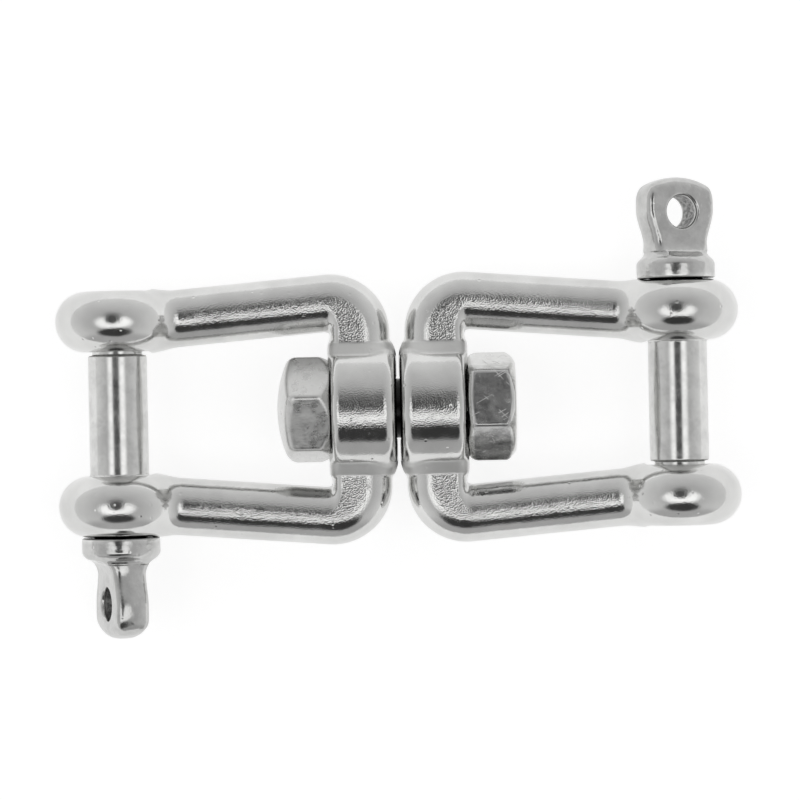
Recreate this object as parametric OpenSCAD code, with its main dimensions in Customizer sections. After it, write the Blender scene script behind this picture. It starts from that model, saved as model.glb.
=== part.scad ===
// Jaw-and-jaw anchor swivel: two cast forks turning on one hex bolt, each closed by a screw pin.
// The swivel axis is X, the clevis pins run along Y, and the origin is the middle of the hub gap.

/* [Swivel] */
// Gap between the two hubs, which lets the jaws turn freely
hub_gap = 0.5; // [0.3:0.1:1]
// Width of each hub along the swivel axis
hub_w = 8.7; // [7.5:0.1:11]
// Outside diameter of each hub
hub_d = 17.4; // [15:0.2:22]
// Rounding of the hub's edge at the gap
hub_edge = 1.8; // [0.5:0.1:2.5]
// Rounding of the hub's edge in the throat, under the bolt head or the nut
hub_face_edge = 1.3; // [0.3:0.1:1.5]
// Diameter of the swivel bolt's shank
bolt_d = 8; // [6:0.5:9]
// Width across flats of the bolt head and the nut
hex_flats = 13; // [11:0.5:15]
// Height of the hexagonal part of the bolt head
head_h = 6; // [4:0.5:7]
// Rise of the head's dome above the hexagon's flats
head_dome = 1.2; // [0.4:0.1:2]
// Height of the nut
nut_h = 6.7; // [5:0.1:8]
// Turn of the bolt head about the swivel axis
head_turn = 16.2; // [0:0.1:29]
// Turn of the nut about the swivel axis
nut_turn = -10.1; // [-30:0.1:30]

/* [Jaws] */
// Diameter of the round bar that each fork is bent from
bar_d = 7.8; // [7:0.1:8]
// Distance from the hub gap to the middle of the cross bar
bar_x = 4.9; // [4.4:0.1:5.2]
// Mean radius of the two bends
bend_r = 4.1; // [4.0:0.1:5]
// Half of the spacing between the arms where they leave the bends
arm_y = 14.35; // [13.5:0.05:16]
// Angle by which each arm closes towards the pin
arm_close = 4.7; // [3:0.1:5.5]
// Distance from the hub gap to the pin's axis
pin_x = 37.8; // [34:0.2:42]
// Half of the spacing between the middles of the two eyes
eye_y = 12.45; // [12.35:0.05:13]
// Thickness of each eye along the pin
eye_t = 8.3; // [7.1:0.2:8.5]
// Outside radius of each eye about the pin's axis
eye_r = 8.3; // [7.5:0.1:8.6]

/* [Clevis pins] */
// Diameter of the pin's plain span between the eyes
pin_d = 8; // [7:0.1:8]
// Diameter of the land that fills the plain eye
land_d = 8.4; // [8.4:0.1:9]
// Outside diameter of the screwed end
screw_d = 7.9; // [7.5:0.1:7.9]
// Diameter of the neck between the plain span and the screwed end
neck_d = 6.8; // [6.4:0.1:7.3]
// Diameter of the collar
collar_d = 10.6; // [9.8:0.1:12]
// Thickness of the collar
collar_t = 2.7; // [2:0.1:3.5]
// Distance from the collar's seat to the top of the tab
grip_h = 13.6; // [12:0.1:16]
// Thickness of the tab
tab_t = 4.7; // [3:0.1:5]
// Greatest width of the tab
tab_w = 10.3; // [9:0.1:11]
// Width of the tab at its foot
tab_foot_w = 8.3; // [6:0.1:8.6]
// Diameter of the hole through the tab
hole_d = 4.4; // [3:0.1:4.6]
// Distance from the tab's top to the middle of its hole
hole_drop = 4.7; // [4:0.1:5]
// Turn of the left pin's tab about the pin's axis
left_turn = 67.5; // [0:0.5:180]
// Turn of the right pin's tab about the pin's axis
right_turn = 23.6; // [0:0.1:180]

/* [Hidden] */
$fn = 96;
hex_sides = 6;

// Radial clearance of the bolt in the hubs, the land in the plain eye and the screw in its thread
bolt_play = 0.08;
land_play = 0.1;
screw_play = 0.05;
// Axial play under the bolt head, under the nut and under the pin's collar
seat_play = 0.2;
collar_play = 0.15;

hub_in = hub_gap / 2;
hub_out = hub_in + hub_w;
hub_r = hub_d / 2;
bar_r = bar_d / 2;
bend_x = bar_x + bend_r;
bend_y = arm_y - bend_r * cos(arm_close);
arm_x = bend_x + bend_r * sin(arm_close);
arm_end = pin_x - 2;
arm_len = (arm_end - arm_x) / cos(arm_close);
// Each bend is a little thicker than the straight bars, which reach into it by the lap
bend_swell = 0.05;
bend_lap = 0.5;

// The cheek squares the inner corner between the cross bar and the arm, just short of the hub's face
cheek_x = hub_out - 0.05;
cheek_y = 13.2;
cheek_half_h = bar_r - 0.15;
cheek_edge = 1.3;

eye_rim = eye_t / 2;
eye_in = eye_y - eye_rim;
eye_out = eye_y + eye_rim;
plain_bore_r = land_d / 2 + land_play;
tapped_bore_r = screw_d / 2 + screw_play;
sink = 0.8;

seat_x = hub_out + seat_play;
hex_corner_r = hex_flats / sqrt(3);
// The chamfers rise by 1 in 2, and run past the hexagon's corners
turning_past = 0.2;
turning_r = hex_corner_r + 2 * turning_past;
head_top = seat_x + head_h + head_dome;
nut_top = seat_x + nut_h;
nut_chamfer = 0.8;
head_chamfer = 0.5;
screw_in_nut_play = 0.04;

pin_r = pin_d / 2;
collar_y = eye_out + collar_play;
tip_y = -(eye_out - 0.3);
tip_chamfer = 0.7;
shoulder_chamfer = 0.3;
shoulder_y = -(eye_in - 0.4);
neck_end = shoulder_y - 1;
land_y = eye_in + 0.1;
land_step = 0.2;
collar_edge = 0.7;
foot_r = 2.6;
foot_h = 1.6;
grip_y = collar_y + grip_h;
hole_y = grip_y - hole_drop;
tab_corner = 1.6;
tab_dome_r = 9.4;
tab_wide_y = grip_y - 3.4;

// A cylinder along X from x = from to x = to
module bar_along_x(r, from, to) {
    translate([from, 0, 0])
        rotate([0, 90, 0])
            cylinder(r = r, h = to - from);
}

// A cylinder along Y from y = from to y = to
module bar_along_y(r, from, to) {
    translate([0, from, 0])
        rotate([-90, 0, 0])
            cylinder(r = r, h = to - from);
}

// The hub: a drum on the swivel axis, well rounded at the gap and crisp in the throat
module hub() {
    rotate([0, 90, 0])
        rotate_extrude() {
            translate([0, hub_in])
                square([hub_r - hub_edge, hub_w]);
            translate([0, hub_in + hub_edge])
                square([hub_r - hub_face_edge, hub_w - hub_edge]);
            translate([0, hub_in + hub_edge])
                square([hub_r, hub_w - hub_edge - hub_face_edge]);
            translate([hub_r - hub_edge, hub_in + hub_edge])
                circle(r = hub_edge);
            translate([hub_r - hub_face_edge, hub_out - hub_face_edge])
                circle(r = hub_face_edge);
        }
}

// The flat-sided filling behind the cross bar, which runs on from the hub into both arms
module cheek() {
    depth = cheek_x - bar_x;
    rotate([90, 0, 0])
        linear_extrude(height = 2 * cheek_y, center = true)
            translate([bar_x, 0]) {
                translate([0, -cheek_half_h])
                    square([depth - cheek_edge, 2 * cheek_half_h]);
                translate([0, cheek_edge - cheek_half_h])
                    square([depth, 2 * (cheek_half_h - cheek_edge)]);
                for (side = [-1, 1])
                    translate([depth - cheek_edge, side * (cheek_half_h - cheek_edge)])
                        circle(r = cheek_edge);
            }
}

// One side of the fork: half of the cross bar, the bend and the closing arm
module fork_side() {
    translate([bar_x, 0, 0])
        bar_along_y(bar_r, 0, bend_y + bend_lap);
    translate([bend_x, bend_y, 0])
        rotate([0, 0, 90 - arm_close])
            rotate_extrude(angle = 90 + arm_close)
                translate([bend_r, 0])
                    circle(r = bar_r + bend_swell);
    translate([arm_x, arm_y, 0])
        rotate([0, 0, -arm_close])
            bar_along_x(bar_r, -bend_lap, arm_len);
}

// An eye: a disc about the pin's axis with a full round rim
module eye() {
    translate([pin_x, eye_y, 0])
        rotate([90, 0, 0])
            rotate_extrude() {
                translate([0, -eye_rim])
                    square([eye_r - eye_rim, eye_t]);
                intersection() {
                    translate([eye_r - eye_rim, 0])
                        circle(r = eye_rim);
                    translate([0, -eye_rim])
                        square([eye_r, eye_t]);
                }
            }
}

// One jaw, opening towards +X, with its plain eye at +Y and its tapped eye at -Y
module jaw() {
    difference() {
        union() {
            hub();
            cheek();
            for (side = [0, 1])
                mirror([0, side, 0]) {
                    fork_side();
                    eye();
                }
        }
        bar_along_x(bolt_d / 2 + bolt_play, hub_in - 1, hub_out + 1);
        translate([pin_x, 0, 0]) {
            bar_along_y(plain_bore_r, 0, eye_out + 1);
            bar_along_y(tapped_bore_r, -eye_out - 1, 0);
            translate([0, -eye_in - sink, 0])
                rotate([-90, 0, 0])
                    cylinder(r1 = tapped_bore_r, r2 = tapped_bore_r + 2 * sink, h = 2 * sink);
        }
    }
}

// The turned part of a clevis pin, as half of its outline: radius, then distance along the pin
module pin_outline() {
    polygon([
        [0, tip_y],
        [screw_d / 2 - tip_chamfer, tip_y],
        [screw_d / 2, tip_y + tip_chamfer],
        [screw_d / 2, neck_end],
        [neck_d / 2, neck_end],
        [neck_d / 2, shoulder_y],
        [pin_r, shoulder_y + shoulder_chamfer],
        [pin_r, land_y - land_step],
        [land_d / 2, land_y],
        [land_d / 2, collar_y],
        [collar_d / 2 - collar_edge, collar_y],
        [collar_d / 2 - collar_edge, collar_y + collar_t],
        [tab_foot_w / 2, collar_y + collar_t],
        [foot_r, collar_y + collar_t + foot_h],
        [0, collar_y + collar_t + foot_h],
    ]);
    translate([0, collar_y + collar_edge])
        square([collar_d / 2, collar_t - 2 * collar_edge]);
    for (edge = [collar_y + collar_edge, collar_y + collar_t - collar_edge])
        translate([collar_d / 2 - collar_edge, edge])
            circle(r = collar_edge);
}

// The face of the tab: a flared plate with round corners and a slightly domed top
module tab_outline() {
    intersection() {
        union() {
            polygon([
                [-tab_foot_w / 2, collar_y + collar_t / 2],
                [tab_foot_w / 2, collar_y + collar_t / 2],
                [tab_w / 2, tab_wide_y],
                [tab_w / 2 - tab_corner, grip_y],
                [tab_corner - tab_w / 2, grip_y],
                [-tab_w / 2, tab_wide_y],
            ]);
            for (side = [-1, 1])
                translate([side * (tab_w / 2 - tab_corner), grip_y - tab_corner - 0.4])
                    circle(r = tab_corner);
        }
        translate([0, grip_y - tab_dome_r])
            circle(r = tab_dome_r);
    }
}

// One clevis pin, its head at +Y, with the face of its tab turned about the pin's axis
module clevis_pin(turn) {
    translate([pin_x, 0, 0]) {
        rotate([-90, 0, 0])
            rotate_extrude()
                pin_outline();
        rotate([0, turn, 0])
            difference() {
                linear_extrude(height = tab_t, center = true)
                    tab_outline();
                translate([0, hole_y, -tab_t])
                    cylinder(d = hole_d, h = 2 * tab_t);
            }
    }
}

// A hexagonal prism along X whose corners are turned down by the outline given as a child
module turned_hex(turn, from, to) {
    intersection() {
        rotate([turn, 0, 0])
            rotate([0, 90, 0])
                rotate([0, 0, 90])
                    translate([0, 0, from])
                        cylinder(r = hex_corner_r, h = to - from, $fn = hex_sides);
        rotate([0, 90, 0])
            rotate_extrude()
                children();
    }
}

module left_jaw() {
    color("silver")
        rotate([0, 0, 180])
            jaw();
}

module right_jaw() {
    color("silver")
        jaw();
}

// The bolt runs from its domed head on the left to the end of the nut on the right
module swivel_bolt() {
    dome_base_r = hex_corner_r - head_chamfer;
    dome_r = (dome_base_r * dome_base_r + head_dome * head_dome) / (2 * head_dome);
    color("lightgray") {
        bar_along_x(bolt_d / 2, -seat_x - head_h / 2, nut_top - 0.4);
        mirror([1, 0, 0])
            turned_hex(head_turn, seat_x, head_top)
                intersection() {
                    polygon([
                        [0, seat_x],
                        [hex_corner_r - 2 * head_chamfer, seat_x],
                        [turning_r, seat_x + head_chamfer + turning_past],
                        [turning_r, head_top],
                        [0, head_top],
                    ]);
                    translate([0, head_top - dome_r])
                        circle(r = dome_r);
                }
    }
}

module swivel_nut() {
    color("gray")
        difference() {
            turned_hex(nut_turn, seat_x, nut_top)
                polygon([
                    [0, seat_x],
                    [hex_corner_r - 2 * nut_chamfer, seat_x],
                    [turning_r, seat_x + nut_chamfer + turning_past],
                    [turning_r, nut_top - nut_chamfer - turning_past],
                    [hex_corner_r - 2 * nut_chamfer, nut_top],
                    [0, nut_top],
                ]);
            bar_along_x(bolt_d / 2 + screw_in_nut_play, seat_x - 1, nut_top + 1);
        }
}

module left_pin() {
    color("gainsboro")
        rotate([0, 0, 180])
            clevis_pin(left_turn);
}

module right_pin() {
    color("gainsboro")
        clevis_pin(right_turn);
}

left_jaw();
right_jaw();
swivel_bolt();
swivel_nut();
left_pin();
right_pin();
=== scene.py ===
import math

import bpy
import numpy as np
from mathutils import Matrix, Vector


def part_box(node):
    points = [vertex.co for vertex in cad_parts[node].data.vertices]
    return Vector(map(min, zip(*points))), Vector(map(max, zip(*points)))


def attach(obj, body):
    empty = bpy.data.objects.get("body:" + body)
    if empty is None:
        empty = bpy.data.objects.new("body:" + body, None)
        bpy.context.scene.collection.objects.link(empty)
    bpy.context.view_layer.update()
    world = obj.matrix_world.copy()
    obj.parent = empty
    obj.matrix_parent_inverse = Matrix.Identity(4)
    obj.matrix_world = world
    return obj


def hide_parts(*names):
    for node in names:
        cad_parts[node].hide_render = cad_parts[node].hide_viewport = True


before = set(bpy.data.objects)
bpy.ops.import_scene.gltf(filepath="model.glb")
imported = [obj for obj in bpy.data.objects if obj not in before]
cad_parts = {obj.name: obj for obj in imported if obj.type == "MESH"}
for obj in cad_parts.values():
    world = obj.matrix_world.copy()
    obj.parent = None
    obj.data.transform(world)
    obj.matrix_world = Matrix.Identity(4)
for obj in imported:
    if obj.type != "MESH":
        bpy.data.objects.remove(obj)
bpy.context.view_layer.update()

MM = 0.001


def mm_box(node):
    """A CAD node's lowest and highest corners, in millimetres."""
    low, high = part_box(node)
    return np.array(low) / MM, np.array(high) / MM


# ---------------------------------------------------------------- sizes, in millimetres
# Each piece is shaped in the right-hand jaw's own frame: the swivel axis is X, its clevis pin runs
# along Y with the tab at +Y, and the left-hand pieces are the same shapes turned half a turn about Z.
JAW_LOW, JAW_HIGH = mm_box("right_jaw")
PIN_LOW, PIN_HIGH = mm_box("right_pin")
BOLT_LOW, BOLT_HIGH = mm_box("swivel_bolt")
NUT_LOW, NUT_HIGH = mm_box("swivel_nut")

HUB_IN = JAW_LOW[0]
HUB_R = JAW_HIGH[2]
HUB_W = 8.7
HUB_OUT = HUB_IN + HUB_W
HUB_EDGE = 1.8
HUB_FACE_EDGE = 1.3
HUB_BORE = 4.08
BORE_EDGE = 0.35

BAR_R = 3.9
BAR_X = 4.9
BEND_R = 4.1
ARM_Y = 14.35
ARM_CLOSE = math.radians(4.7)
BEND_X = BAR_X + BEND_R
BEND_Y = ARM_Y - BEND_R * math.cos(ARM_CLOSE)
ARM_X = BEND_X + BEND_R * math.sin(ARM_CLOSE)
CHEEK_EDGE = 1.4
CHEEK_X = HUB_OUT - 0.05
CHEEK_START = 0.8
CHEEK_FILLET = 1.1
CREASE_BEVEL = 0.9
CREASE_EDGE = 0.15
EYE_FILLET = 1.4

PIN_X = (PIN_LOW[0] + PIN_HIGH[0]) / 2
EYE_Y = 12.45
EYE_RIM = 4.15
EYE_DISC = JAW_HIGH[0] - PIN_X - EYE_RIM
EYE_IN = EYE_Y - EYE_RIM
EYE_OUT = EYE_Y + EYE_RIM
PLAIN_BORE = 4.3
PLAIN_BORE_EDGE = 0.7
SINK = 0.8

PITCH = 1.25
THREAD_DEPTH = 0.62
THREAD_PLAY = 0.05

# Edges that are only just broken, from sharp to slightly worn
SHARP = 0.05
CRISP = 0.1
BROKEN = 0.2
WORN = 0.3

SHANK_R = 4.0
LAND_R = 4.2
SCREW_R = 3.95
NECK_R = 3.4
TIP_Y = PIN_LOW[1]
SHOULDER_Y = -(EYE_IN - 0.4)
GROOVE_R = 3.5
COLLAR_R = 5.3
COLLAR_Y = EYE_OUT + 0.07
COLLAR_T = 2.78
COLLAR_EDGE = 0.95
COLLAR_SEAT_EDGE = 0.25
GRIP_Y = PIN_HIGH[1]
TAB_T = 4.7
TAB_W = 10.5
TAB_FOOT_W = 8.4
TAB_WIDE_Y = GRIP_Y - 4.4
TAB_NARROW_Y = GRIP_Y - 9.2
TAB_DOME_R = 9.4
TAB_DOME_EDGE = 1.7
TAB_EDGE = 0.8
TAB_CROWN = 12.0
TAB_SCOOP = 2.4
TAB_FOOT_R = 4.3
TAB_FOOT_H = 0.8
TAB_ROOT = 1.5
TAB_FOOT_FILLET = 1.0
HOLE_R = 2.2
HOLE_Y = GRIP_Y - 4.7
HOLE_EDGE = 0.5

HEX_FLAT = 6.5
SEAT_X = NUT_LOW[0]
NUT_TOP = NUT_HIGH[0]
NUT_THREAD_PLAY = 0.04
NUT_SEAT_EDGE = 0.9
HEAD_TOP = -BOLT_LOW[0]
HEAD_DOME_R = 16.6
HEAD_DOME_EDGE = 0.9
BOLT_END = BOLT_HIGH[0]
BOLT_END_EDGE = 0.5
BOLT_R = 4.0
# The cones that turn off the hexagons' corners: the radius where each starts, how fast it widens, and the
# factor that brings its field back to a distance
HEAD_CHAMFER = (HEX_FLAT, 0.72, 0.8)
NUT_TOP_CHAMFER = (6.05, 1.18, 0.65)
NUT_SEAT_CHAMFER = (6.4, 1.73, 0.5)

TAB_TURN = {"left_pin": math.radians(67.5), "right_pin": math.radians(23.6)}
HEAD_TURN = math.radians(16.2)
NUT_TURN = math.radians(-10.1)

# Spacing of the mesh over each piece
JAW_MESH, PIN_MESH, BOLT_MESH, NUT_MESH = 0.26, 0.16, 0.17, 0.14

# ---------------------------------------------------------------- light and camera
FLOOR_GREY = 0.45
FLOOR_GLOW = 0.74
WALL_HIGH, WALL_LOW = 0.52, 0.85
WALL_STARTS, WALL_ENDS = math.radians(30), math.radians(90)
# Each patch of the light tent is an ellipse: its middle and its half axes in degrees from straight up,
# towards +X and +Y, how soft its rim is, and its brightness. A later patch lies over an earlier one.
TENT = [
    (0, -85, 75, 38, 0.4, 0.5),  # the dim near wall
    (-2, -6, 34, 24, 0.25, 1.35),  # the bright lamp cloth overhead
    (0, 28, 26, 14, 0.3, 0.55),  # the shade at its far side
    (0, -43, 31, 17, 0.25, 0.05),  # the dark slot at its near side
    (-3, 14, 16, 17, 0.6, 0.22),  # the shade round the camera
    (-4, 4, 13, 15, 0.3, 0.09),  # the camera's own dark hole
]
CAMERA_HEIGHT = 0.5
CAMERA_FIELD = 0.108
CAMERA_X, CAMERA_Y = 0.00023, 0.00108
CAMERA_ROLL = math.radians(-1.2)


# ---------------------------------------------------------------- distance fields
# Brings the sum of two distances at right angles back to a distance
DIAGONAL = 0.7071


def join(a, b, fillet):
    """The union of two solids, with a fillet of about that size where they meet."""
    h = np.clip(0.5 + 0.5 * (b - a) / fillet, 0.0, 1.0)
    return b + (a - b) * h - fillet * h * (1.0 - h)


def common(a, b, edge):
    """What two solids share, with the edge between them rounded."""
    return -join(-a, -b, edge)


def cut(a, b, edge):
    """Solid a with solid b taken away, and the edge rounded."""
    return common(a, -b, edge)


def bevel_join(a, b, size, edge):
    """The union of two solids, with a flat bevel in the corner between them."""
    return join(join(a, b, edge), (a + b - size) * DIAGONAL, edge)


def turned(radius, along, r, start, end, edge):
    """A cylinder of radius r from start to end along its axis, with rounded edges."""
    across = radius - r + edge
    length = np.abs(along - (start + end) / 2) - (end - start) / 2 + edge
    outside = np.hypot(np.maximum(across, 0.0), np.maximum(length, 0.0))
    return outside + np.minimum(np.maximum(across, length), 0.0) - edge


def threaded(radius, along, angle, r, depth, grow):
    """An endless threaded rod of outside radius r, its surface moved outwards by grow.

    The flanks slope, so the value is scaled down to stay near a true distance."""
    turn = (along / PITCH - angle / (2 * math.pi)) % 1.0
    # A wave with flats: 0 along the crest, 1 along the root, and a slope between them
    flank = np.clip(1.35 * np.abs(2.0 * turn - 1.0) - 0.12, 0.0, 1.0)
    return (radius - (r - depth * flank) - grow) * 0.75


def bar_line(x, y):
    """Distance in plan from the middle line of the jaw's bent bar: cross bar, bend and arm."""
    y = np.abs(y)
    cross = np.hypot(x - BAR_X, np.maximum(y - BEND_Y, 0.0))
    bend = np.abs(np.hypot(x - BEND_X, y - BEND_Y) - BEND_R)
    along = (x - ARM_X) * math.cos(ARM_CLOSE) - (y - ARM_Y) * math.sin(ARM_CLOSE)
    aside = (x - ARM_X) * math.sin(ARM_CLOSE) + (y - ARM_Y) * math.cos(ARM_CLOSE)
    length = (PIN_X - 1.0 - ARM_X) / math.cos(ARM_CLOSE)
    arm = np.hypot(np.clip(along, None, 0.0) + np.maximum(along - length, 0.0), aside)
    past_bend = (y < BEND_Y) | (along > 0.0)
    return np.minimum(np.minimum(cross, arm), np.where(past_bend, 1e3, bend))


def cheek_field(x, y, z):
    """The filling between the cross bar and the throat, whose flat top and back square the inner corners."""
    across = x - CHEEK_X + CHEEK_EDGE
    height = np.abs(z) - BAR_R + CHEEK_EDGE
    outside = np.hypot(np.maximum(across, 0.0), np.maximum(height, 0.0))
    plate = outside + np.minimum(np.maximum(across, height), 0.0) - CHEEK_EDGE
    inside_bend = np.hypot(x - BEND_X, np.maximum(np.abs(y) - BEND_Y, 0.0)) - BEND_R + CHEEK_START
    return common(plate, inside_bend, CRISP)


def eye_field(x, y, z):
    """An eye: a disc about the pin's axis with a full round rim."""
    beyond = np.hypot(x - PIN_X, z) - EYE_DISC
    return np.hypot(np.maximum(beyond, 0.0), np.abs(y) - EYE_Y) - EYE_RIM


def jaw_field(x, y, z):
    """One fork: hub, bent bar, cheeks and eyes, with the hub's bore, a plain eye and a tapped eye."""
    radius = np.hypot(y, z)
    hub = turned(radius, x, HUB_R, HUB_IN, HUB_OUT + HUB_EDGE, HUB_EDGE)
    hub = common(hub, x - HUB_OUT, HUB_FACE_EDGE)
    bar = np.hypot(bar_line(x, y), z) - BAR_R
    bar = join(bar, cheek_field(x, y, z), CHEEK_FILLET)
    bar = common(bar, np.abs(z) - BAR_R, SHARP)
    solid = bevel_join(hub, bar, CREASE_BEVEL, CREASE_EDGE)
    solid = join(solid, eye_field(x, y, z), EYE_FILLET)
    solid = cut(solid, radius - HUB_BORE, BORE_EDGE)
    across = np.hypot(x - PIN_X, z)
    plain = common(across - PLAIN_BORE, -y, CRISP)
    angle = np.arctan2(z, x - PIN_X)
    tapped = threaded(across, y, angle, SCREW_R, THREAD_DEPTH, THREAD_PLAY)
    for face in (EYE_IN, EYE_OUT):
        cone = across - (SCREW_R + SINK - np.abs(y + face))
        tapped = np.minimum(tapped, cone * 0.7)
    tapped = common(tapped, y, CRISP)
    return cut(cut(solid, plain, PLAIN_BORE_EDGE), tapped, WORN)


def shank_field(radius, y, angle):
    """The pin up to its collar: screwed end, neck, plain span, land and undercut."""
    screw = threaded(radius, y, angle, SCREW_R, THREAD_DEPTH, 0.0)
    screw = common(screw, turned(radius, y, SCREW_R, TIP_Y, -EYE_IN - 0.5, 0.6), CRISP)
    shank = turned(radius, y, SHANK_R, SHOULDER_Y, EYE_OUT - 0.8, WORN)
    shank = join(shank, turned(radius, y, GROOVE_R, 0.0, COLLAR_Y + 1, BROKEN), CRISP)
    solid = join(screw, turned(radius, y, NECK_R, TIP_Y + 3, 0.0, BROKEN), 0.15)
    solid = join(solid, shank, CRISP)
    return join(solid, turned(radius, y, LAND_R, EYE_IN, EYE_OUT - 0.7, BROKEN), CRISP)


def pin_field(x, y, z, turn):
    """A clevis pin, its tab turned by that angle about the pin's axis."""
    x = x - PIN_X
    radius = np.hypot(x, z)
    shank = shank_field(radius, y, np.arctan2(z, x))
    foot_y = COLLAR_Y + COLLAR_T
    collar = turned(radius, y, COLLAR_R, COLLAR_Y - 0.5, foot_y, COLLAR_EDGE)
    collar = common(collar, COLLAR_Y - y, COLLAR_SEAT_EDGE)

    # The tab's outline: crowned sides that flare upwards, and a round top
    wide = x * math.cos(turn) - z * math.sin(turn)
    thick = x * math.sin(turn) + z * math.cos(turn)
    flare = np.clip((y - TAB_NARROW_Y) / (TAB_WIDE_Y - TAB_NARROW_Y), 0.0, 1.0)
    flare = flare * flare * (3.0 - 2.0 * flare)
    half_width = (TAB_FOOT_W + flare * (TAB_W - TAB_FOOT_W)) / 2
    side = np.abs(wide) - half_width + thick**2 / TAB_CROWN
    dome = np.hypot(wide, y - GRIP_Y + TAB_DOME_R) - TAB_DOME_R
    face = common(common(side, dome, TAB_DOME_EDGE), foot_y - TAB_ROOT - y, WORN)
    # Its faces, which swell out to the foot, and the round foot itself
    up = np.clip(y - foot_y, 0.0, TAB_SCOOP)
    swell = TAB_SCOOP - np.sqrt(TAB_SCOOP**2 - (TAB_SCOOP - up) ** 2)
    flat = (np.abs(thick) - TAB_T / 2 - swell) * 0.8
    tab = common(common(face, flat, TAB_EDGE), common(flat, dome, TAB_DOME_EDGE), SHARP)
    foot = radius - TAB_FOOT_R - 3.0 * np.maximum(y - foot_y - TAB_FOOT_H, 0.0)
    tab = common(tab, foot, 0.4)
    solid = join(shank, join(collar, tab, TAB_FOOT_FILLET), CRISP)
    hole = np.hypot(wide, y - HOLE_Y) - HOLE_R
    return cut(solid, hole, HOLE_EDGE)


def hexagon(y, z, turn, edge):
    """An endless hexagonal bar along the swivel axis."""
    solid = None
    for k in range(3):
        a = turn + math.radians(30 + 60 * k)
        flat = np.abs(y * math.cos(a) + z * math.sin(a)) - HEX_FLAT
        solid = flat if solid is None else common(solid, flat, edge)
    return solid


def chamfer(radius, rise, cone):
    """The inside of a cone that widens with rise."""
    start, slope, scale = cone
    return (radius - start - slope * rise) * scale


def bolt_field(x, y, z):
    """The hex bolt: domed head, plain shank, and a thread from the nut's seat to the end."""
    radius = np.hypot(y, z)
    out = -x
    head = hexagon(y, z, HEAD_TURN, 0.4)
    dome = np.hypot(radius, out - HEAD_TOP + HEAD_DOME_R) - HEAD_DOME_R
    head = common(head, dome, HEAD_DOME_EDGE)
    head = common(head, SEAT_X - out, 0.15)
    head = common(head, chamfer(radius, out - SEAT_X, HEAD_CHAMFER), 0.25)
    shank = turned(radius, x, BOLT_R, -HEAD_TOP + 2, BOLT_END, BOLT_END_EDGE)
    angle = np.arctan2(z, y)
    screw = threaded(radius, x, angle, BOLT_R, THREAD_DEPTH, 0.0)
    shank = common(shank, np.minimum(screw, (x - SEAT_X) * 0.7), CRISP)
    return join(head, shank, BROKEN)


def nut_field(x, y, z):
    """The hex nut, with a chamfer at each end and a sink at each end of its thread."""
    radius = np.hypot(y, z)
    nut = hexagon(y, z, NUT_TURN, 0.35)
    middle, half = (SEAT_X + NUT_TOP) / 2, (NUT_TOP - SEAT_X) / 2
    ends = np.abs(x - middle) - half
    nut = common(nut, ends, WORN)
    nut = common(nut, chamfer(radius, NUT_TOP - x, NUT_TOP_CHAMFER), WORN)
    nut = common(nut, chamfer(radius, x - SEAT_X, NUT_SEAT_CHAMFER), NUT_SEAT_EDGE)
    angle = np.arctan2(z, y)
    thread = threaded(radius, x, angle, BOLT_R, THREAD_DEPTH, NUT_THREAD_PLAY)
    sink = (radius - (BOLT_R + 0.5 + ends)) * 0.7
    return cut(nut, np.minimum(thread, sink), CRISP)


# ---------------------------------------------------------------- meshes
def gradient(field, points):
    """The field's slope at each point, by central differences."""
    step = 0.01
    slope = np.empty_like(points)
    for axis in range(3):
        ahead, behind = points.copy(), points.copy()
        ahead[:, axis] += step
        behind[:, axis] -= step
        slope[:, axis] = (field(*ahead.T) - field(*behind.T)) / (2 * step)
    return slope


def skin(field, low, high, step):
    """Quads over the surface where the field is zero.

    There is one point in each grid cell that the surface crosses, pulled onto the surface."""
    axes = [np.arange(a - 2 * step, b + 3 * step, step) for a, b in zip(low, high)]
    count = [len(a) for a in axes]
    value = np.broadcast_to(field(*np.ix_(*axes)), count)
    inside = value < 0
    cells, crossings, quads = [], [], []
    number = np.arange(np.prod(count)).reshape(count)
    for axis in range(3):
        near = [slice(None)] * 3
        far = [slice(None)] * 3
        near[axis], far[axis] = slice(0, -1), slice(1, None)
        at = np.argwhere(inside[tuple(near)] != inside[tuple(far)])
        next_at = at.copy()
        next_at[:, axis] += 1
        v0, v1 = value[tuple(at.T)], value[tuple(next_at.T)]
        place = np.stack([axes[k][at[:, k]] for k in range(3)], 1)
        place[:, axis] += step * v0 / (v0 - v1)
        side_a, side_b = [(1, 2), (2, 0), (0, 1)][axis]
        ring = []
        for da, db in ((0, 0), (-1, 0), (-1, -1), (0, -1)):
            cell = at.copy()
            cell[:, side_a] += da
            cell[:, side_b] += db
            ring.append(number[tuple(cell.T)])
        ring = np.stack(ring, 1)
        cells.append(ring.ravel())
        crossings.append(np.repeat(place, 4, axis=0))
        quads.append(np.where((v0 < 0)[:, None], ring, ring[:, ::-1]))
    cells = np.concatenate(cells)
    crossings = np.concatenate(crossings)
    used, index = np.unique(cells, return_inverse=True)
    total = np.bincount(index)
    points = np.stack([np.bincount(index, crossings[:, k]) / total for k in range(3)], 1)
    faces = np.searchsorted(used, np.concatenate(quads))
    for _ in range(5):
        slope = gradient(field, points)
        move = slope * (field(*points.T) / np.maximum((slope**2).sum(1), 0.05))[:, None]
        length = np.linalg.norm(move, axis=1, keepdims=True)
        points -= move * np.minimum(1.0, 0.5 * step / np.maximum(length, 1e-9))
    return points, faces


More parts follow.
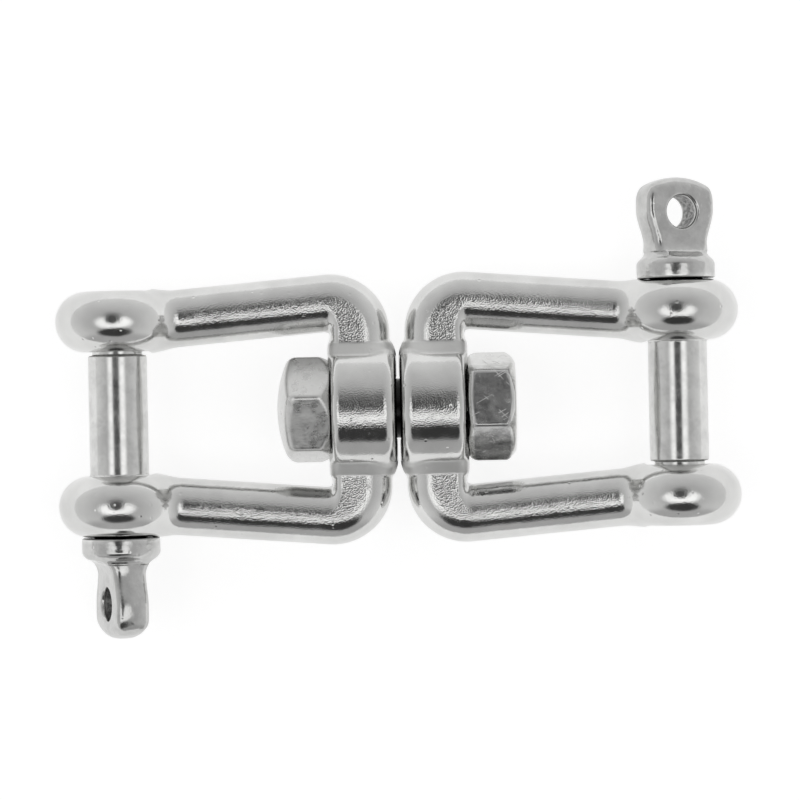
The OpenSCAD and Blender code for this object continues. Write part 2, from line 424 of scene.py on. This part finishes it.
def add_piece(name, field, box, step, half_turn=False):
    """A closed mesh over the field, in metres, with its normals taken from the field itself."""
    low, high = box
    points, faces = skin(field, low, high, step)
    normals = gradient(field, points)
    normals /= np.linalg.norm(normals, axis=1, keepdims=True)
    if half_turn:
        points[:, :2] *= -1
        normals[:, :2] *= -1
    mesh = bpy.data.meshes.new(name)
    mesh.vertices.add(len(points))
    mesh.vertices.foreach_set("co", (points * MM).ravel())
    mesh.loops.add(faces.size)
    mesh.loops.foreach_set("vertex_index", faces.ravel())
    mesh.polygons.add(len(faces))
    mesh.polygons.foreach_set("loop_start", np.arange(0, faces.size, 4))
    mesh.update(calc_edges=True)
    mesh.validate()
    mesh.normals_split_custom_set_from_vertices(normals)
    piece = bpy.data.objects.new(name, mesh)
    bpy.context.scene.collection.objects.link(piece)
    return piece


# ---------------------------------------------------------------- materials
class Steel:
    """A metal whose tone, gloss and small relief all come from noise in the object's own space."""

    def __init__(self, name):
        self.material = bpy.data.materials.new(name)
        self.material.use_nodes = True
        self.nodes, self.links = self.material.node_tree.nodes, self.material.node_tree.links
        self.shader = self.nodes["Principled BSDF"]
        self.shader.inputs["Metallic"].default_value = 1.0
        self.place = self.nodes.new("ShaderNodeTexCoord").outputs["Object"]
        self.normal = None

    def noise(self, size_mm, detail=2.0, rough=0.5, stretch=(1.0, 1.0, 1.0)):
        """A soft pattern of lumps about size_mm across, stretched along some of the axes."""
        shape = self.nodes.new("ShaderNodeMapping")
        shape.inputs["Scale"].default_value = [1.0 / k for k in stretch]
        self.links.new(self.place, shape.inputs["Vector"])
        node = self.nodes.new("ShaderNodeTexNoise")
        node.inputs["Scale"].default_value = 1.0 / (size_mm * MM)
        node.inputs["Detail"].default_value = detail
        node.inputs["Roughness"].default_value = rough
        self.links.new(shape.outputs["Vector"], node.inputs["Vector"])
        return node.outputs["Fac"]

    def spots(self, spacing_mm, size):
        """Scattered round spots: 1 at the middle of each and 0 outside, size being a share of the spacing."""
        node = self.nodes.new("ShaderNodeTexVoronoi")
        node.inputs["Scale"].default_value = 1.0 / (spacing_mm * MM)
        self.links.new(self.place, node.inputs["Vector"])
        return self.spread(node.outputs["Distance"], size, size * 0.3, 0.0, 1.0)

    def grains(self, size_mm):
        """A skin of little cones, one to a grain."""
        node = self.nodes.new("ShaderNodeTexVoronoi")
        node.inputs["Scale"].default_value = 1.0 / (size_mm * MM)
        self.links.new(self.place, node.inputs["Vector"])
        return node.outputs["Distance"]

    def spread(self, value, low, high, to_low, to_high):
        """Maps the stretch of value from low to high onto to_low to to_high, and holds it there outside."""
        node = self.nodes.new("ShaderNodeMapRange")
        for socket, number in zip(list(node.inputs)[1:5], (low, high, to_low, to_high)):
            socket.default_value = number
        self.links.new(value, node.inputs["Value"])
        return node.outputs["Result"]

    def within(self, distance, low_mm, high_mm, to_low, to_high):
        """The same for a distance, with its limits in millimetres."""
        return self.spread(distance, low_mm * MM, high_mm * MM, to_low, to_high)

    def math(self, kind, *values):
        node = self.nodes.new("ShaderNodeMath")
        node.operation = kind
        for socket, value in zip(node.inputs, values):
            self.links.new(value, socket)
        return node.outputs[0]

    def facing(self, axis):
        """How squarely the surface faces along one axis, either way: 1 when it faces right along it."""
        split = self.nodes.new("ShaderNodeSeparateXYZ")
        self.links.new(self.nodes["Texture Coordinate"].outputs["Normal"], split.inputs[0])
        return self.math("ABSOLUTE", split.outputs[axis])

    def times(self, a, b):
        return self.math("MULTIPLY", a, b)

    def most(self, a, b):
        return self.math("MAXIMUM", a, b)

    def mix(self, share, a, b):
        """Value a where share is 0, value b where it is 1."""
        return self.math("MULTIPLY_ADD", self.math("SUBTRACT", b, a), share, a)

    def along(self, axis):
        """Distance from the object's origin along one axis, in metres."""
        split = self.nodes.new("ShaderNodeSeparateXYZ")
        self.links.new(self.place, split.inputs[0])
        return split.outputs[axis]

    def away(self, axis):
        """The same to either side."""
        return self.math("ABSOLUTE", self.along(axis))

    def distance(self, x, y):
        """Distance from the point (x, y, 0), or from its mirror image in each other quarter, in metres."""
        fold = self.nodes.new("ShaderNodeVectorMath")
        fold.operation = "ABSOLUTE"
        self.links.new(self.place, fold.inputs[0])
        node = self.nodes.new("ShaderNodeVectorMath")
        node.operation = "DISTANCE"
        node.inputs[1].default_value = (x * MM, y * MM, 0.0)
        self.links.new(fold.outputs[0], node.inputs[0])
        return node.outputs["Value"]

    def scratches(self, size_mm, stretch, turn, width):
        """Fine broken lines: 1 along the middle of each, 0 elsewhere."""
        shape = self.nodes.new("ShaderNodeMapping")
        shape.vector_type = "TEXTURE"
        shape.inputs["Rotation"].default_value = turn
        shape.inputs["Scale"].default_value = stretch
        self.links.new(self.place, shape.inputs["Vector"])
        node = self.nodes.new("ShaderNodeTexNoise")
        node.inputs["Scale"].default_value = 1.0 / (size_mm * MM)
        node.inputs["Detail"].default_value = 0.0
        self.links.new(shape.outputs["Vector"], node.inputs["Vector"])
        line = self.spread(node.outputs["Fac"], 0.5 - width, 0.5, 0.0, 1.0)
        end = self.spread(node.outputs["Fac"], 0.5, 0.5 + width, 1.0, 0.0)
        patch = self.spread(self.noise(1.7, 1.0), 0.55, 0.63, 0.0, 1.0)
        return self.times(self.times(line, end), patch)

    def tone(self, value, dark, light):
        """Colours the metal from dark to light with the value, which runs from 0 to 1."""
        ramp = self.nodes.new("ShaderNodeValToRGB")
        ramp.color_ramp.elements[0].color = (*dark, 1)
        ramp.color_ramp.elements[1].color = (*light, 1)
        self.links.new(value, ramp.inputs["Fac"])
        self.links.new(ramp.outputs["Color"], self.shader.inputs["Base Color"])

    def gloss(self, value):
        self.links.new(value, self.shader.inputs["Roughness"])

    def relief(self, height, depth_mm):
        """Adds a bump of that depth over the relief so far."""
        bump = self.nodes.new("ShaderNodeBump")
        bump.inputs["Distance"].default_value = depth_mm * MM
        self.links.new(height, bump.inputs["Height"])
        if self.normal is not None:
            self.links.new(self.normal, bump.inputs["Normal"])
        self.normal = bump.outputs["Normal"]
        self.links.new(self.normal, self.shader.inputs["Normal"])


def cast_steel():
    """Tumbled casting with a few pits and dull creases beside the hub.

    Its sandy skin is deepest on the flat tops of the bends and worn smooth at the eyes."""
    steel = Steel("cast_stainless")
    even = steel.spread(steel.noise(5.0, 3.0), 0.3, 0.7, 0.85, 1.0)
    # Painted shade: the hub faces in the narrow gap between the two jaws are darkened to near black.
    painted_gap_shade = steel.within(steel.away("X"), 0.27, 0.42, 0.0, 1.0)
    steel.tone(steel.times(even, painted_gap_shade), (0.04, 0.04, 0.04), (0.69, 0.69, 0.68))
    inner = steel.within(steel.away("Y"), 7.0, 7.5, 0.0, 1.0)
    outer = steel.within(steel.away("Y"), 9.1, 8.7, 0.0, 1.0)
    beside_hub = steel.within(steel.away("X"), 9.5, 9.0, 0.0, 0.4)
    crease = steel.times(steel.times(inner, outer), beside_hub)
    polished = steel.spread(steel.noise(1.2, 4.0), 0.3, 0.7, 0.08, 0.17)
    steel.gloss(steel.math("ADD", polished, crease))
    round_bar = steel.spread(steel.facing("Z"), 0.88, 0.96, 0.2, 1.0)
    flat_top = steel.spread(steel.facing("Z"), 0.96, 0.99, 0.2, 1.0)
    off_hub = steel.within(steel.away("Y"), 7.8, 9.2, 0.0, 1.0)
    bend = steel.times(off_hub, steel.within(steel.away("X"), 10.5, 8.5, 0.0, 1.0))
    sandy = steel.mix(bend, round_bar, flat_top)
    sandy = steel.times(sandy, steel.within(steel.away("X"), 26.0, 33.0, 1.0, 0.3))
    sandy = steel.times(sandy, steel.within(steel.away("Y"), 7.8, 9.2, 0.65, 1.0))
    steel.relief(steel.noise(2.4, 1.0), 0.03)
    steel.relief(steel.times(steel.grains(0.2), sandy), 0.027)
    steel.relief(steel.spots(1.9, 0.13), -0.03)
    return steel.material


def bolt_steel():
    """A polished forged bolt with faint handling marks on its flats, and painted shade on its shank inside
    the hubs.
    """
    steel = Steel("bolt_stainless")
    marks = steel.spread(steel.noise(1.6, 4.0, 0.6), 0.36, 0.5, 0.82, 1.0)
    # Painted shade: the shank inside the hubs is darkened to near black, where it shows down the gap between
    # them.
    shank = steel.within(steel.away("X"), HUB_OUT - 0.3, HUB_OUT, 0.0, 1.0)
    steel.tone(steel.times(marks, shank), (0.03, 0.03, 0.03), (0.68, 0.68, 0.67))
    steel.gloss(steel.spread(steel.noise(1.6, 4.0), 0.35, 0.65, 0.24, 0.36))
    steel.relief(steel.noise(2.6, 1.0), 0.04)
    steel.relief(steel.noise(0.6, 3.0, 0.6, (1.0, 0.5, 1.0)), 0.012)
    return steel.material


def nut_steel():
    """A machined nut: clean bevels, flats stained and scratched by the spanner, and a painted reflection that
    keeps the flats towards +Y light.
    """
    steel = Steel("nut_stainless")
    stains = steel.spread(steel.noise(1.5, 5.0, 0.65), 0.38, 0.56, 0.0, 0.5)
    bevel = steel.within(steel.along("X"), NUT_TOP - 1.1, NUT_TOP - 0.8, 0.0, 1.0)
    seat = steel.within(steel.along("X"), SEAT_X + 1.1, SEAT_X + 0.8, 0.0, 1.0)
    # Painted light: the flats towards +Y are held at the light tone as a painted reflection of the bright
    # floor, so clean mixes real unstained metal with that painted light.
    painted_light_upper_flats = steel.within(steel.along("Y"), 4.4, 5.2, 0.0, 1.0)
    clean = steel.most(steel.most(stains, painted_light_upper_flats), steel.most(bevel, seat))
    falling = steel.scratches(0.8, (1.0, 14.0, 6.0), (0.0, 0.0, 0.8), 0.026)
    rising = steel.scratches(0.7, (1.0, 14.0, 6.0), (0.0, 0.0, -1.1), 0.026)
    marks = steel.most(falling, rising)
    steel.tone(steel.most(clean, marks), (0.34, 0.34, 0.34), (0.72, 0.72, 0.71))
    steel.gloss(steel.spread(steel.noise(1.3, 4.0), 0.35, 0.65, 0.16, 0.28))
    steel.relief(steel.noise(1.8, 2.0), 0.04)
    steel.relief(marks, -0.02)
    return steel.material


def pin_steel():
    """A forged pin, turned and polished on its shank, with a slightly uneven head and a dull hole."""
    steel = Steel("pin_stainless")
    clean = steel.spread(steel.noise(2.2, 4.0, 0.6), 0.35, 0.6, 0.82, 1.0)
    hole = steel.within(steel.distance(PIN_X, HOLE_Y), HOLE_R + 0.65, HOLE_R + 0.45, 0.0, 1.0)
    dull = steel.spread(steel.noise(0.5, 4.0, 0.7), 0.42, 0.58, 0.2, 0.8)
    out = steel.away("Y")
    # Painted shade: the groove between the shank's end and the collar's underside, on the tab's side, is
    # darkened to near black.
    collar = steel.within(out, COLLAR_Y + 0.05, COLLAR_Y + 0.2, 0.0, 1.0)
    shank = steel.within(out, EYE_OUT - 0.6, EYE_OUT - 0.9, 0.0, 1.0)
    # The left pin is the right one turned about Z, so X times Y is negative on the tip's side of both
    tip = steel.spread(steel.times(steel.along("X"), steel.along("Y")), 1e-4, -1e-4, 0.0, 1.0)
    outside_painted_groove_shade = steel.most(steel.most(collar, shank), tip)
    # Painted shade: the collar's top and the tab are dimmed to 0.8 of the pin's tone, a shaded copy of the
    # same steel.
    head = steel.within(out, COLLAR_Y + 0.3, COLLAR_Y + 0.8, 1.0, 0.8)
    worn_and_head_shade = steel.times(steel.mix(hole, clean, dull), head)
    steel.tone(steel.times(worn_and_head_shade, outside_painted_groove_shade), (0.08, 0.08, 0.08), (0.68, 0.68, 0.67))
    polished = steel.spread(steel.noise(1.2, 4.0), 0.3, 0.7, 0.12, 0.22)
    drilled = steel.spread(steel.noise(0.9, 2.0), 0.3, 0.7, 0.45, 0.6)
    steel.gloss(steel.mix(hole, polished, drilled))
    forged = steel.within(out, COLLAR_Y, COLLAR_Y + 1.0, 0.0, 1.0)
    steel.relief(steel.times(steel.noise(1.7, 2.0), forged), 0.09)
    steel.relief(steel.times(steel.spots(1.6, 0.16), forged), -0.03)
    steel.relief(steel.noise(0.25, 2.0, 0.5, (6.0, 0.3, 6.0)), 0.002)
    return steel.material


CAST, BOLT_STEEL, NUT_STEEL, PIN_STEEL = cast_steel(), bolt_steel(), nut_steel(), pin_steel()


# ---------------------------------------------------------------- pieces
def place_piece(piece, node, body, material):
    piece.data.materials.append(material)
    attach(piece, body)
    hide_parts(node)


def add_pieces():
    jaw_box, pin_box = (JAW_LOW, JAW_HIGH), (PIN_LOW, PIN_HIGH)
    for side in ("left", "right"):
        jaw = add_piece(f"{side}_jaw_casting", jaw_field, jaw_box, JAW_MESH, side == "left")
        place_piece(jaw, f"{side}_jaw", f"{side}_jaw", CAST)
        turn = TAB_TURN[f"{side}_pin"]
        pin = add_piece(
            f"{side}_clevis_pin",
            lambda x, y, z: pin_field(x, y, z, turn),
            pin_box,
            PIN_MESH,
            side == "left",
        )
        place_piece(pin, f"{side}_pin", f"{side}_pin", PIN_STEEL)
    bolt = add_piece("swivel_hex_bolt", bolt_field, (BOLT_LOW, BOLT_HIGH), BOLT_MESH)
    place_piece(bolt, "swivel_bolt", "swivel_bolt", BOLT_STEEL)
    nut = add_piece("swivel_hex_nut", nut_field, (NUT_LOW, NUT_HIGH), NUT_MESH)
    place_piece(nut, "swivel_nut", "swivel_bolt", NUT_STEEL)


# ---------------------------------------------------------------- stage
def add_floor():
    bpy.ops.mesh.primitive_plane_add(size=4.0, location=(0, 0, JAW_LOW[2] * MM))
    floor = bpy.context.object
    floor.name = "floor"
    material = bpy.data.materials.new("floor_white")
    material.use_nodes = True
    shader = material.node_tree.nodes["Principled BSDF"]
    shader.inputs["Base Color"].default_value = (FLOOR_GREY, FLOOR_GREY, FLOOR_GREY, 1)
    shader.inputs["Roughness"].default_value = 0.6
    shader.inputs["Emission Color"].default_value = (1, 1, 1, 1)
    shader.inputs["Emission Strength"].default_value = FLOOR_GLOW
    floor.data.materials.append(material)


def add_light():
    """A soft light tent round the object: even walls that brighten towards the floor, painted with TENT."""
    world = bpy.data.worlds.new("tent")
    bpy.context.scene.world = world
    world.use_nodes = True
    nodes, links = world.node_tree.nodes, world.node_tree.links
    sky = nodes["Background"]
    place = nodes.new("ShaderNodeTexCoord")
    split = nodes.new("ShaderNodeSeparateXYZ")
    links.new(place.outputs["Generated"], split.inputs[0])

    def math_node(kind, a, b=0.0, c=0.0):
        node = nodes.new("ShaderNodeMath")
        node.operation = kind
        for socket, value in zip(node.inputs, (a, b, c)):
            if isinstance(value, (int, float)):
                socket.default_value = value
            else:
                links.new(value, socket)
        return node.outputs[0]

    def length(a, b):
        return math_node("SQRT", math_node("ADD", math_node("MULTIPLY", a, a), math_node("MULTIPLY", b, b)))

    def spot(x, y, wide, deep, soft):
        """1 inside an ellipse of directions about (x, y), in degrees from straight up, 0 outside."""
        dx = math_node("DIVIDE", math_node("SUBTRACT", lean_x, x), wide)
        dy = math_node("DIVIDE", math_node("SUBTRACT", lean_y, y), deep)
        away = length(dx, dy)
        node = nodes.new("ShaderNodeMapRange")
        node.interpolation_type = "SMOOTHERSTEP"
        node.inputs["From Min"].default_value = 1.0 + soft
        node.inputs["From Max"].default_value = 1.0 - soft
        links.new(away, node.inputs["Value"])
        return node.outputs["Result"]

    def paint(under, amount, value):
        """Takes the brightness from under towards value by amount."""
        step = math_node("SUBTRACT", value, under)
        return math_node("MULTIPLY_ADD", step, amount, under)

    up, east, north = split.outputs["Z"], split.outputs["X"], split.outputs["Y"]
    lean = math_node("ARCCOSINE", up)
    level = math_node("MAXIMUM", length(east, north), 1e-5)
    degrees = math_node("MULTIPLY", math_node("DIVIDE", lean, level), 180 / math.pi)
    lean_x = math_node("MULTIPLY", degrees, east)
    lean_y = math_node("MULTIPLY", degrees, north)

    wall = nodes.new("ShaderNodeMapRange")
    wall.inputs["From Min"].default_value = WALL_STARTS
    wall.inputs["From Max"].default_value = WALL_ENDS
    wall.inputs["To Min"].default_value = WALL_HIGH
    wall.inputs["To Max"].default_value = WALL_LOW
    links.new(lean, wall.inputs["Value"])
    light = wall.outputs["Result"]
    for x, y, wide, deep, soft, brightness in TENT:
        light = paint(light, spot(x, y, wide, deep, soft), brightness)
    links.new(light, sky.inputs["Strength"])
    sky.inputs["Color"].default_value = (1, 1, 1, 1)


def add_camera():
    camera = bpy.data.cameras.new("camera")
    camera.sensor_width = 36.0
    camera.lens = camera.sensor_width * CAMERA_HEIGHT / CAMERA_FIELD
    camera.clip_start = 0.01
    view = bpy.data.objects.new("camera", camera)
    view.location = (CAMERA_X, CAMERA_Y, CAMERA_HEIGHT)
    view.rotation_euler = (0, 0, CAMERA_ROLL)
    bpy.context.scene.collection.objects.link(view)
    bpy.context.scene.camera = view
    bpy.context.scene.view_settings.view_transform = "Standard"


add_camera()
add_floor()
add_light()
add_pieces()
